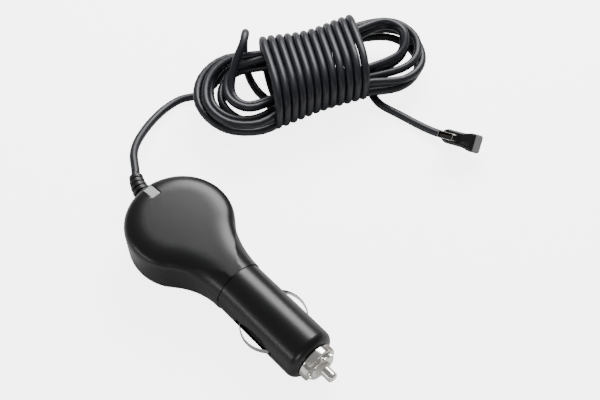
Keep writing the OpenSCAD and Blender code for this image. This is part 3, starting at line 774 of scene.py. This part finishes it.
def make_plug_sleeve():
    """A thin drawn sleeve, open at its end, with two latch windows a side."""
    sleeve = block("plug_sleeve", (2, -1.5, 0.6), (8.8, 1.5, 11))
    round_over(sleeve, 0.7, 4, lambda a, b: abs(a.z - b.z) > 5)
    choose(sleeve, "FACE", lambda middle, normal: normal.z > 0.9)
    bpy.ops.mesh.inset(thickness=0.3 * MM)
    extrude(0, 0, -10)
    bpy.ops.object.mode_set(mode="OBJECT")
    for side in (-1, 1):
        middle = 5.4 + side * 1.7
        combine(sleeve, block("latch", (middle - 0.5, -3, 6.6), (middle + 0.5, 3, 8.2)), "DIFFERENCE")
    soften(sleeve, 0.06, 50)
    return put_in_plug(sleeve)


finished(make_plug_moulding(), plug_vinyl, "housing", ["plug_housing"], 40)
finished(make_plug_sleeve(), plated_nickel, "housing", ["plug_shell"], 40)

# --- Lead ---------------------------------------------------------------------

CORD_D = 3.4
# A little over half the diameter, because the section has flat sides
SECTION_R = CORD_D * 0.515
# The same points as the model's routes, in millimetres
EXIT_ROUTE = [(-64.8, 3.3, 10.5), (-69, 6, 10.3), (-74.5, 9.5, 9.6), (-79, 14, 8.3), (-83, 20, 6.6),
              (-87, 28, 4.4), (-89.8, 37, 2.6), (-89.9, 46, 1.8)]
PLUG_ROUTE = [(-25.2, 108.4, 1.8), (-18, 110, 1.8), (-9, 111.6, 2.1), (-1.6, 113, 2.9), (3.5, 114.2, 4)]

# The hank has its own axes: u along it, v across it and z up
HANK_AT = (-54.7, 94.7)
HANK_TURN = 68.7
# One row a loop: left end, right end, near side, far side, near and far bulge at the left and the right,
# then heights at the near side, far side, left end and right end
LOOPS = [
    (-51, 44, -15, 14, -17, 21, -17, 14, 5, 5, 7, 5),
    (-53, 48, -16, 14, -20, 21, -19, 13, 8, 11, 11, 8),
    (-54, 49, -12, 13, -18, 20, -16, 14, 5, 16, 12, 10),
    (-51, 48, -15, 10, -20, 15, -19, 11, 14, 19, 15, 12),
    (-48, 47, -9, 12, -13, 18, -11, 13, 9, 21, 10, 16),
    (-44, 40, -6, 9, -14, 13, -7, 10, 6, 10, 10, 18),
    (-41, 42, -7, 8, -10, 10, -8, 10, 12, 20, 14, 19),
]
LOOP_STEPS = 16
ENTRY = [(-50, 14.6, 1.8), (-42, 17, 2.6)]
STANDING_LOOP = [(-31.5, -8.5, 13), (-37, -5.5, 13), (-38.8, 0, 14), (-37, 5, 17), (-32.5, 10.5, 22),
                 (-28, 14.8, 25.2), (-25, 19.6, 25.6), (-23.9, 23.4, 21.8), (-24.3, 24.6, 15.5),
                 (-25.4, 21.8, 8), (-26, 15, 3.2), (-25, 7, 1.8)]
WRAP_TURNS, WRAP_STEPS = 12, 20
WRAP_FULLNESS, WRAP_SLANT, WRAP_CLEAR = 0.77, 3, 0.15
WRAP_START, WRAP_END = -22.9, 20.9
WRAP_EXIT = [(21.3, -7, 1.85), (21.2, -13, 1.85), (21.7, -18.5, 1.85)]


def hank_point(u, v, z):
    """A point of the hank's own axes in the model's."""
    turn = radians(HANK_TURN)
    return (HANK_AT[0] + u * cos(turn) - v * sin(turn), HANK_AT[1] + u * sin(turn) + v * cos(turn), z)


def loop_points():
    """Five points round a loop's left end, three on its far side, five round its right end, three near."""
    points = []
    for i in range(4, LOOP_STEPS * len(LOOPS)):
        k, j = divmod(i, LOOP_STEPS)
        now, after = LOOPS[k], LOOPS[min(k + 1, len(LOOPS) - 1)]
        left, right, near, far, near_l, far_l, near_r, far_r, z_near, z_far, z_left, z_right = [
            a + (b - a) * j / LOOP_STEPS for a, b in zip(now, after)]
        radius_l, radius_r = (far_l - near_l) / 2, (far_r - near_r) / 2
        if j < 5 or 8 <= j < 13:
            at_left = j < 5
            angle = radians(45 * j - 90) if at_left else radians(450 - 45 * j)
            reach, radius, z_end = (left, radius_l, z_left) if at_left else (right, radius_r, z_right)
            inwards = 1 if at_left else -1
            middle = (far_l + near_l) / 2 if at_left else (far_r + near_r) / 2
            u = reach + inwards * radius * (1 - cos(angle))
            v = middle + radius * sin(angle)
            z_side = z_far if v > middle else z_near
            z = z_end + (z_side - z_end) * 0.6 * sin(angle) ** 2
        elif j < 8:
            t = (j - 4) / 4
            u, v, z = (left + radius_l) * (1 - t) + (right - radius_r) * t, far, z_far
        else:
            t = (j - 12) / 4
            u, v, z = (right - radius_r) * (1 - t) + (left + radius_l) * t, near, z_near
        points.append((u, v, z))
    return points


def rounded(x):
    """Makes a circle's sine or cosine into a rounded square's."""
    return (abs(x) ** WRAP_FULLNESS) * (1 if x > 0 else -1)


def wrap_points():
    """Turns round the middle of the loops, a little closer at the waist and towards the right."""
    points = []
    total = WRAP_TURNS * WRAP_STEPS
    for i in range(total + 1):
        along = i / total
        angle = 2 * pi * i / WRAP_STEPS - pi / 2
        waist = 1.6 * sin(pi * along) ** 2
        half_w = 20 - 1.8 * along - waist
        half_h = 12 - 0.5 * along - waist / 2
        middle_z = half_h + CORD_D / 2 + WRAP_CLEAR
        points.append((WRAP_START + (WRAP_END - WRAP_START) * along - WRAP_SLANT * cos(angle),
                       -half_w * rounded(cos(angle)), middle_z + half_h * rounded(sin(angle))))
    return points


def smoothed(points, steps):
    """Catmull-Rom points through the given ones."""
    given = [Vector(p) for p in points]
    out = []
    for i in range(len(given) - 1):
        a, b, c = given[max(i - 1, 0)], given[i], given[i + 1]
        d = given[min(i + 2, len(given) - 1)]
        for j in range(steps):
            t = j / steps
            out.append((2 * b + (c - a) * t + (2 * a - 5 * b + 4 * c - d) * t ** 2
                        + (3 * b - a - 3 * c + d) * t ** 3) / 2)
    return out + [given[-1]]


in_hank = ENTRY + loop_points() + STANDING_LOOP + wrap_points() + WRAP_EXIT
route = smoothed(EXIT_ROUTE + [hank_point(*p) for p in in_hank] + PLUG_ROUTE, 4)

curve = bpy.data.curves.new("lead", "CURVE")
curve.dimensions = "3D"
curve.bevel_depth = SECTION_R * MM
curve.bevel_resolution = 3
curve.use_fill_caps = True
spline = curve.splines.new("POLY")
spline.points.add(len(route) - 1)
for knot, p in zip(spline.points, route):
    knot.co = (*(p * MM), 1)
spline.use_smooth = True
lead = bpy.data.objects.new("lead", curve)
bpy.context.scene.collection.objects.link(lead)
curve.materials.append(cord_vinyl)
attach(lead, "housing")
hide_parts("cord_exit", "cord_hank", "cord_plug_end")
